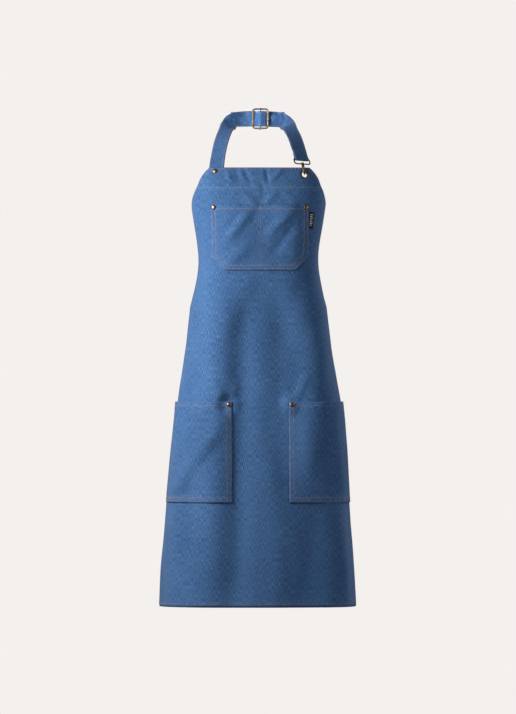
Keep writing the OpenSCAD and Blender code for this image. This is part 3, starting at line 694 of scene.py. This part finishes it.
def hem_band(name, rows, left, right, cols):
    """Folded hem on the panel's wrong side."""
    obj = cloth_piece(name, rows, left, right, cols, lambda t, s: HEM_D, denim_inside, thick=0.9,
                      seam=lambda t, s: along_seams(half_w(t) - abs(s) - SIDE_ROW, PANEL_LEN - FOOT_ROW - t))
    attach(obj, "apron")


hem_band("foot_hem", steps(PANEL_LEN - HEM_W, PANEL_LEN - 0.6, 4), lambda t: -SKIRT_W / 2 + 1,
         lambda t: SKIRT_W / 2 - 1, 136)
SIDE_HEMS = {"arm": steps(44, ARMHOLE_LEN, 5), "side": steps(ARMHOLE_LEN + 1, PANEL_LEN - HEM_W - 1, 6)}
for side, word in ((-1, "right"), (1, "left")):
    for part, rows in SIDE_HEMS.items():
        inner = lambda t, side=side: side * (half_w(t) - SIDE_HEM)
        outer = lambda t, side=side: side * (half_w(t) - 0.7)
        left, right = (outer, inner) if side < 0 else (inner, outer)
        hem_band(f"{word}_{part}_hem", rows, left, right, 3)


def mouth_share(u, v):
    return math.sin(math.pi * min(1, max(0, u))) ** 2 * max(0, 1 - v / 0.8) ** 1.5


def bib_edge(t):
    cut_from = BIB_POCKET["drop"] + BIB_POCKET["high"] - BIB_POCKET["cut"]
    return BIB_POCKET["half"] - max(0, t - cut_from)


BIB_GAPE, HAND_GAPE = 4.6, 5.5
MOUTH_HEM = 8


def bib_stand(t, s):
    p = BIB_POCKET
    gape = BIB_GAPE * mouth_share(abs(s) / p["half"], (t - p["drop"]) / p["high"])
    own = 0.5 * noise.noise(Vector((s / 17, t / 26, 21.0))) * smooth(bib_edge(t) - abs(s), 3, 16)
    puff = 0.7 * smooth(bib_edge(t) - abs(s), 8, 30) * smooth(p["drop"] + p["high"] - t, 6, 24)
    return POCKET_D + CLOTH_T + gape + max(0, own + 0.25) + puff


def hand_stand(t, s):
    p = HAND_POCKET
    u = (abs(s) - p["near"]) / (p["far"] - p["near"])
    gape = HAND_GAPE * mouth_share(u, (t - p["drop"]) / p["high"])
    inside = min(abs(s) - p["near"], p["far"] - abs(s), p["drop"] + p["high"] - t)
    own = crease_height(t, s, POCKET_CREASES) + noise.noise(Vector((s / 30, t / 45, 31.0))) + 0.6
    flat_side = 1 - 0.75 * smooth(abs(s), 170, 225)
    return POCKET_D + CLOTH_T + gape + max(0, own) * smooth(inside, 7, 30) * flat_side


def bib_rows(t, s):
    p = BIB_POCKET
    edge = bib_edge(t) - abs(s)
    foot = p["drop"] + p["high"] - t
    return along_seams(edge - OUTER_ROW, edge - INNER_ROW, foot - OUTER_ROW, foot - INNER_ROW,
                       t - p["drop"] - MOUTH_HEM)


def hand_rows(t, s):
    p = HAND_POCKET
    foot = p["drop"] + p["high"] - t
    side = abs(s) - p["near"]
    return along_seams(side - OUTER_ROW, side - INNER_ROW, foot - OUTER_ROW, foot - INNER_ROW,
                       t - p["drop"] - MOUTH_HEM, p["far"] - abs(s) - OUTER_ROW)


def mouth_rows(p):
    return steps(p["drop"] + 0.5, p["drop"] + 12, 3)


def behind(stand):
    """Stand-off of a mouth's folded hem, just behind the pocket's own cloth."""
    return lambda t, s: max(CLOTH_T + 0.5, stand(t, s) - CLOTH_T - 0.05)


p = BIB_POCKET
bib_pocket = cloth_piece("bib_pocket_cloth", steps(p["drop"], p["drop"] + p["high"], 3),
                         lambda t: -bib_edge(t), bib_edge, 62, bib_stand, denim, seam=bib_rows)
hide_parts("bib_pocket")
bib_mouth = cloth_piece("bib_pocket_mouth_hem", mouth_rows(p), lambda t: 3 - p["half"],
                        lambda t: p["half"] - 3, 60, behind(bib_stand), denim_inside, thick=0.4)
pockets = {"bib": (bib_pocket, bib_mouth)}
p = HAND_POCKET
for side, word in ((1, "left"), (-1, "right")):
    a, b = sorted((side * p["near"], side * p["far"]))
    cloth = cloth_piece(f"{word}_hand_pocket_cloth", steps(p["drop"], p["drop"] + p["high"], 4),
                        lambda t, a=a: a, lambda t, b=b: b, 52, hand_stand, denim, seam=hand_rows)
    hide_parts(f"{word}_hand_pocket")
    mouth = cloth_piece(f"{word}_pocket_mouth_hem", mouth_rows(p), lambda t, a=a: a + 3, lambda t, b=b: b - 3,
                        52, behind(hand_stand), denim_inside, thick=0.4)
    pockets[word] = (cloth, mouth)
for cloth, mouth in pockets.values():
    for obj, word in ((cloth, "denim"), (mouth, "denim_wrong_side")):
        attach(obj, "apron")


# ---------------------------------------------------------------- woven side label
def make_label():
    side, drop, wide, high = BIB_POCKET["half"] + 0.2, BIB_POCKET["drop"] + 14, 15, 33
    lean = 0.12
    obj = cloth_piece("side_label", steps(drop, drop + high, 3), lambda t: side + (t - drop) * -lean,
                      lambda t: side + wide + (t - drop) * -lean, 6,
                      lambda t, s: CLOTH_T + 1.4 + 0.5 * math.sin((s - side) / wide * math.pi),
                      label_black, thick=0.8)
    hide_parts("woven_label")
    marks = Thread("side_label_marks", label_mark)
    pitch = 3.4
    for i, reach in enumerate((8.4, 6.2, 8.4, 5.2, 7.4, 8.4, 6.6)):
        t = drop + 5.5 + i * pitch
        s0 = side + pitch - (t - drop) * lean
        m, place = cloth_frame(t, s0 + reach / 2, CLOTH_T + 1.9, (0, 1))
        marks.stitch(m, place, reach, 2.3)
    return obj, marks.done()


label, label_marks = make_label()
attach(label, "apron")

# ---------------------------------------------------------------- straps
# Where the strap ends: sewn behind the bib's right corner, and folded round the loop's bar at the left
EYELET_YAW_END = Vector((0.957269, 0.289199, 0))
BIB_END = Vector((-83.1393, -112.087, -97))
TUCK_D = -2.9
BAR_AT = Vector((81.5106, -105.037, -80.9122))
LOOP_X = Vector((0.870135, 0.490026, -0.052336))
LOOP_Y = Vector((-0.451232, 0.749518, -0.484369))
LOOP_Z = Vector((-0.198126, 0.445082, 0.873297))
HOOK_END = BAR_AT + LOOP_Z * 2.4
NAPE_Y = GAP + STRAP_T / 2
NECK_SIDE = (NECK_R - 1, -15.5, -2.8)
# Strap from the nape to the neck's side: share of the way out, back, up, lean
ROUND_NECK = [(0.2, 0, -0.1, 0), (0.5, 0, -0.5, 0.06), (0.8, -0.6, -1.2, 0.25), (0.93, -2.6, -1.6, 0.4),
              (1.0, -7, -2.0, 0.52)]
# Strap from the neck's side to its end: shares of the way, width direction
FALL = [(0, 0, 0, (-0.2, 0.6, 0.78)), (0.15, 0.13, 0.09, (0.02, 0.73, 0.68)),
        (0.3, 0.27, 0.16, (0.16, 0.85, 0.5)), (0.43, 0.39, 0.24, (0.33, 0.83, 0.45)),
        (0.57, 0.515, 0.35, (0.55, 0.73, 0.4)), (0.725, 0.66, 0.51, (0.73, 0.62, 0.28)),
        (0.89, 0.85, 0.76, (0.84, 0.5, 0.12))]


def strap_fall(side, end, end_dir):
    """Stations from the nape down to one end of the strap."""
    flip = lambda v: Vector((side * v[0], v[1], v[2]))
    half = STRAP_W / 2
    start, goal = NECK_SIDE, (abs(end[0]), end[1], end[2])
    out = [(flip((a * start[0], NAPE_Y + b, c)), flip((-0.02 - lean / 4, lean, 1)), half, STRAP_T)
           for a, b, c, lean in ROUND_NECK]
    for *shares, w in FALL:
        place = [a + f * (b - a) for a, b, f in zip(start, goal, shares)]
        out.append((flip(place), flip(w), half, STRAP_T))
    return out + [(flip(goal), flip(end_dir), half, STRAP_T)]


def make_straps():
    left_run = strap_fall(-1, BIB_END, EYELET_YAW_END)
    right_run = strap_fall(1, HOOK_END, LOOP_X)
    half = STRAP_W / 2
    tuck_dir = Vector((-EYELET_YAW_END[0], EYELET_YAW_END[1], 0))
    nape_dir = Vector((-0.02, 0, 1))
    tuck = [(cloth_point(f * STRAP_TUCK, -STRAP_S, TUCK_D), tuck_dir, half, STRAP_T)
            for f in (1, 0.75, 0.5, 0.25)]
    nape = (Vector((0, NAPE_Y, 0)), nape_dir, half, STRAP_T)
    inner = tuck + left_run[::-1] + [nape] + right_run[:6]
    outer = [(Vector((SLIDER_X + 1, NAPE_Y, 0)), nape_dir, half, STRAP_T)] + right_run[1:]
    return strap_frames(inner, 3.5), strap_frames(outer, 3.5, off=-(STRAP_T + GAP))


neck_frames, hook_frames = make_straps()
neck_strap = strap_piece("neck_strap_cloth", neck_frames, denim, rough=0.25)
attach(neck_strap, "apron")
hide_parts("neck_strap")


def hook_end_frames(frames):
    """Carries the strap on round the loop's bar and back up behind itself."""
    kept = [f for f in frames if f[5] < frames[-1][5] - 16]
    turn = [(-0.4, 15), (-0.95, 10), (-1.1, 7), (-1.7, 4), (-2.25, 1.4), (-2.3, -0.4), (-1.6, -1.75),
            (0, -2.35), (1.6, -1.75), (2.3, -0.4), (2.25, 1.6), (1.75, 4), (1.2, 7), (1.15, 10), (1.5, 14)]
    run = [(f[0], f[1], f[3], STRAP_T) for f in kept[:-3]]
    for y, z in turn:
        run.append((BAR_AT + LOOP_Y * y + LOOP_Z * z, LOOP_X, STRAP_W / 2, STRAP_T))
    return strap_frames(run, 2.0)


hook_frames = hook_end_frames(hook_frames)
hook_strap = strap_piece("hook_strap_cloth", hook_frames, denim, rough=0.2)
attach(hook_strap, "apron")
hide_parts("hook_strap", "hook_strap_fold")


def slider_pieces():
    """The strap's short climb over the adjuster's bar, and the sewn fold round the bar."""
    top = SLIDER_Y - BAR_FOLD_R - GAP - 0.7
    rows = []
    for x in (-17.5, -15, -12.5, -11, -10, -8, -6, -4, -2, 0, 2, 4, 6, 8, 10, 11, 12.5, 15, 17.5):
        rise = 0 if abs(x) > 10.5 else (1 + math.cos(math.pi * x / 10.5)) / 2
        thick = 0.35 + 1.25 * smooth(17.5 - abs(x), 0, 7)
        y = -GAP - thick / 2 + 0.12 + (top - (-GAP - 0.8)) * rise
        rows.append((Vector((SLIDER_X + x, y, -0.02 * x)), Vector((0, 0, 1)), STRAP_W / 2 - 0.1, thick))
    hump_frames = strap_frames(rows, 1.6)
    hump = strap_piece("strap_over_bar", hump_frames, denim, rough=0.15)
    fold_rows = []
    r = WIRE_R + 0.1 + 0.55
    for k in range(17):
        a = math.radians(-100 + k * 21)
        place = Vector((SLIDER_X + r * math.sin(a), SLIDER_Y - r * math.cos(a), 0))
        fold_rows.append((place, Vector((0, 0, 1)), STRAP_W / 2 - 0.6, 1.1))
    fold = strap_piece("strap_round_bar", strap_frames(fold_rows, 0.9), denim)
    return hump, fold, hump_frames


hump, bar_fold, hump_frames = slider_pieces()
for obj, node in ((hump, "strap_hump"), (bar_fold, "slider_bar_fold")):
    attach(obj, "adjuster")
    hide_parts(node)


# ---------------------------------------------------------------- waist ties
TIE_BACK = 24.8337  # how far behind the neck strap's middle the ties meet


def tie_stations(side, knot_w, knot_t):
    t = CLOTH_T + 0.4
    sewn_d = -LAYER_GAP - 0.5 - t / 2
    sewn = [cloth_point(TIE_DROP, side * (SKIRT_W / 2 - f * TIE_SEWN), sewn_d) for f in (1, 0.66, 0.33, 0)]
    z = sewn[3][2]
    y = TIE_BACK + (0.8 if side > 0 else 0)
    half, x = TIE_W / 2, WAIST_GAP / 2
    up = Vector((0, 0, 1))
    rows = [(p, up, half, t) for p in sewn]
    rows += [(Vector((side * 0.62 * x, TIE_BACK - 1.4, z)), up, (half + knot_w) / 2, t * 1.5),
             (Vector((side * 0.3 * x, y + 1, z - 1)), Vector((side * 0.2, 0, 1)), knot_w, knot_t * 0.8),
             (Vector((-side * 0.25 * x, y + 2, z - 9)), Vector((side, 0, 0.8)), knot_w * 0.8, knot_t * 0.8),
             (Vector((-side * 6, y + 3, z - 17)), Vector((side, 0, 0.25)), half * 0.62, t * 1.6),
             (Vector((-side * 13, y + 5, z - 45)), Vector((side, 0.25, 0.25)), half, t),
             (Vector((-side * 20, y + 6, z - 90)), Vector((side, -0.2, 0.12)), half, t),
             (Vector((-side * 25, y + 6, z - 150)), Vector((side, 0.15, 0.08)), half, t),
             (Vector((-side * 27, y + 5.5, z - 200)), Vector((side, 0.05, 0.04)), half, t),
             (Vector((-side * 28, y + 5, z - TIE_TAIL)), Vector((side, 0, 0)), half, t)]
    return rows


ties, tie_frames = {}, {}
for side, word, knot_w, knot_t in ((1, "left", 6, 5), (-1, "right", 7, 6)):
    frames = strap_frames(tie_stations(side, knot_w, knot_t), 4.0)
    tie_frames[word] = frames
    ties[word] = strap_piece(f"{word}_tie_cloth", frames, denim, rough=0.35)
    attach(ties[word], "apron")
    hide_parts(f"{word}_waist_tie")


def make_knot():
    """One turn of the right tie drawn tight round both."""
    mid = Vector((0, TIE_BACK + 2.6, -387.5))
    rows = []
    for k in range(15):
        a = math.radians(200 + k * 27)
        r = 1 + 0.02 * k
        p = mid + Vector((9.2 * r * math.cos(a), 5.4 * r * math.sin(a), 3.2 * math.sin(a / 2)))
        rows.append((p, Vector((0.22 * math.sin(a), 0, 1)), 7.2 - 0.8 * abs(math.sin(a)), 2.4))
    obj = strap_piece("tie_knot_cloth", strap_frames(rows, 2.2), denim, rough=0.9)
    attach(obj, "apron")


make_knot()

# ---------------------------------------------------------------- stitching
outer_face = lambda t, s: CLOTH_T + edge_curl(t, s)


def edge_path(side, inset, start, end, pitch=6):
    return [(t, side * (half_w(t) - inset)) for t in steps(start, end, pitch)]


panel_rows = Thread("panel_stitches", copper_thread)
facing_half = half_w(FACING_ROW) - 4
foot_t = PANEL_LEN - FOOT_ROW
panel_rows.row_on_cloth([(foot_t, s) for s in steps(-SKIRT_W / 2 + 4, SKIRT_W / 2 - 4, 20)], outer_face)
for side in (-1, 1):
    panel_rows.row_on_cloth(edge_path(side, SIDE_ROW - 0.5, 3, foot_t), outer_face)
panel_rows.row_on_cloth([(2.2, s) for s in steps(-BIB_W / 2 + 3, BIB_W / 2 - 3, 10)], outer_face)
panel_rows.done()
facing_rows = Thread("facing_stitches", tan_thread)
facing_rows.row_on_cloth([(FACING_ROW, s) for s in steps(-facing_half, facing_half, 8)], outer_face, wide=0.8)
facing_rows.done()


def corner_path(inset):
    """Down one side of the bib pocket, round its cut corners and up the other."""
    p = BIB_POCKET
    half, foot = p["half"] - inset, p["drop"] + p["high"] - inset
    turn = p["cut"] - inset * 0.41
    top = p["drop"] + 1.5
    return [(top, -half), (foot - turn, -half), (foot, -half + turn),
            (foot, half - turn), (foot - turn, half), (top, half)]


pocket_rows = Thread("bib_pocket_stitches", copper_thread)
for inset in (OUTER_ROW, INNER_ROW):
    path = corner_path(inset)
    fine = [path[0]]
    for (t0, s0), (t1, s1) in zip(path, path[1:]):
        n = max(1, round(math.hypot(t1 - t0, s1 - s0) / 9))
        fine += [(t0 + (t1 - t0) * i / n, s0 + (s1 - s0) * i / n) for i in range(1, n + 1)]
    pocket_rows.row_on_cloth(fine, bib_stand)
p = BIB_POCKET
mouth_t = p["drop"] + MOUTH_HEM
reach = p["half"] - OUTER_ROW
pocket_rows.row_on_cloth([(mouth_t, s) for s in steps(-reach, reach, 9)], bib_stand)
pocket_rows.row_on_cloth([(t, 0.6) for t in steps(p["drop"] + 1, p["drop"] + p["high"] - 2, 9)], bib_stand)
for i in range(5):
    bar_t = p["drop"] + 1.4 + i * 1.5
    pocket_rows.row_on_cloth([(bar_t, -1.6), (bar_t, 2.8)], bib_stand, pitch=4.4)
pocket_rows.done()

p = HAND_POCKET
foot, far_row = p["drop"] + p["high"], p["far"] - OUTER_ROW
for side, word in ((1, "left"), (-1, "right")):
    rows = Thread(f"{word}_hand_pocket_stitches", copper_thread)
    for inset in (OUTER_ROW, INNER_ROW):
        near_row = p["near"] + inset
        rows.row_on_cloth([(t, side * near_row) for t in steps(p["drop"] + 1.5, foot - inset, 9)], hand_stand)
        rows.row_on_cloth([(foot - inset, side * s) for s in steps(near_row, far_row, 9)], hand_stand)
    rows.row_on_cloth([(t, side * far_row) for t in steps(p["drop"] + 1.5, foot - OUTER_ROW, 9)], hand_stand)
    mouth_t, near_row = p["drop"] + MOUTH_HEM, p["near"] + OUTER_ROW
    rows.row_on_cloth([(mouth_t, side * s) for s in steps(near_row, far_row, 9)], hand_stand)
    rows.done()

# Rows along both edges of every strap, as shares of its half width
STRAP_ROWS = (-0.84, 0.84)
strap_rows = Thread("strap_stitches", copper_thread)
for share in STRAP_ROWS:
    for side in (-1, 1):
        strap_rows.row_on_strap(neck_frames, share, side)
        strap_rows.row_on_strap(hook_frames, share, side)
strap_rows.done()
hump_rows = Thread("strap_over_bar_stitches", copper_thread)
for share in STRAP_ROWS:
    hump_rows.row_on_strap(hump_frames, share, 1)
hump_rows.done("adjuster")

tie_rows = Thread("tie_stitches", copper_thread)
for word in ("left", "right"):
    flat_part = [f for f in tie_frames[word] if f[3] > 9]
    for share in STRAP_ROWS:
        for side in (-1, 1):
            tie_rows.row_on_strap(flat_part, share, side)
tie_rows.done()

# ---------------------------------------------------------------- metal
for node, material in (("slider_frame", brass), ("slider_bar", brass), ("hook_loop", dark_brass),
                       ("hook_body", dark_brass), ("hook_gate", dark_brass), ("gate_pin", dark_brass),
                       ("gate_spring", steel), ("eyelet_front", dark_brass), ("eyelet_back", dark_brass),
                       ("strap_rivet_cap", copper), ("strap_rivet_post", copper),
                       ("bib_pocket_rivet_caps", copper), ("bib_pocket_rivet_posts", copper),
                       ("hand_pocket_rivet_caps", copper), ("hand_pocket_rivet_posts", copper)):
    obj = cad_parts[node]
    for i in range(max(1, len(obj.material_slots))):
        if obj.material_slots:
            obj.material_slots[i].material = material
        else:
            obj.data.materials.append(material)


# ---------------------------------------------------------------- studio
def studio_plane(name, size, place, material):
    """Flat plane; the floor made from it is kept out of the camera's view, so it only throws light back and
    the apron shows from below too.
    """
    bm = bmesh.new()
    bmesh.ops.create_grid(bm, x_segments=1, y_segments=1, size=size / 2, matrix=Matrix.Translation(place))
    obj = finish_mesh(bm, name, material, shade=False)
    return obj


PALE = (0.905, 0.871, 0.847)
pale_floor, _, floor_shader = new_material("pale_floor")
floor_shader.inputs["Base Color"].default_value = (0.4, 0.4, 0.4, 1)
floor_shader.inputs["Roughness"].default_value = 0.9
floor = studio_plane("floor", 60, Vector((0, 0, -1.6)), pale_floor)
floor.visible_camera = False


def area_light(name, place, aim, size, power, color=(1, 1, 1), spread=180):
    data = bpy.data.lights.new(name, "AREA")
    data.shape = "DISK"
    data.size, data.energy, data.color, data.spread = size, power, color, math.radians(spread)
    obj = bpy.data.objects.new(name, data)
    obj.location = place
    obj.rotation_euler = (Vector(aim) - Vector(place)).to_track_quat("-Z", "Y").to_euler()
    obj.visible_camera = False
    bpy.context.collection.objects.link(obj)


MID = (0, -0.06, -0.45)
area_light("key", (-0.95, -0.68, -0.06), (0, -0.1, -0.36), 0.5, 19.5, (1.0, 0.99, 0.97))
area_light("fill", (1.9, -0.9, 0.0), MID, 1.6, 11, (0.97, 0.98, 1.0))
area_light("collar", (0.25, -1.0, 0.55), (0, 0, 0), 0.12, 0.03, spread=6)
area_light("rim", (1.8, 2.2, 1.0), MID, 1.4, 34)
area_light("back", (-1.6, 2.4, 0.3), MID, 1.8, 20)
world = bpy.data.worlds.new("studio")
world.use_nodes = True
tree = world.node_tree
back = tree.nodes["Background"]
back.inputs["Color"].default_value = (*PALE, 1)
back.inputs["Strength"].default_value = 1.0
soft = tree.nodes.new("ShaderNodeBackground")
soft.inputs["Color"].default_value = (0.95, 0.95, 0.97, 1)
soft.inputs["Strength"].default_value = 0.09
rays = tree.nodes.new("ShaderNodeLightPath")
blend = tree.nodes.new("ShaderNodeMixShader")
link(tree, rays.outputs["Is Camera Ray"], blend.inputs[0])
link(tree, soft.outputs[0], blend.inputs[1])
link(tree, back.outputs[0], blend.inputs[2])
link(tree, blend.outputs[0], tree.nodes["World Output"].inputs["Surface"])
bpy.context.scene.world = world
bpy.context.scene.view_settings.view_transform = "Standard"
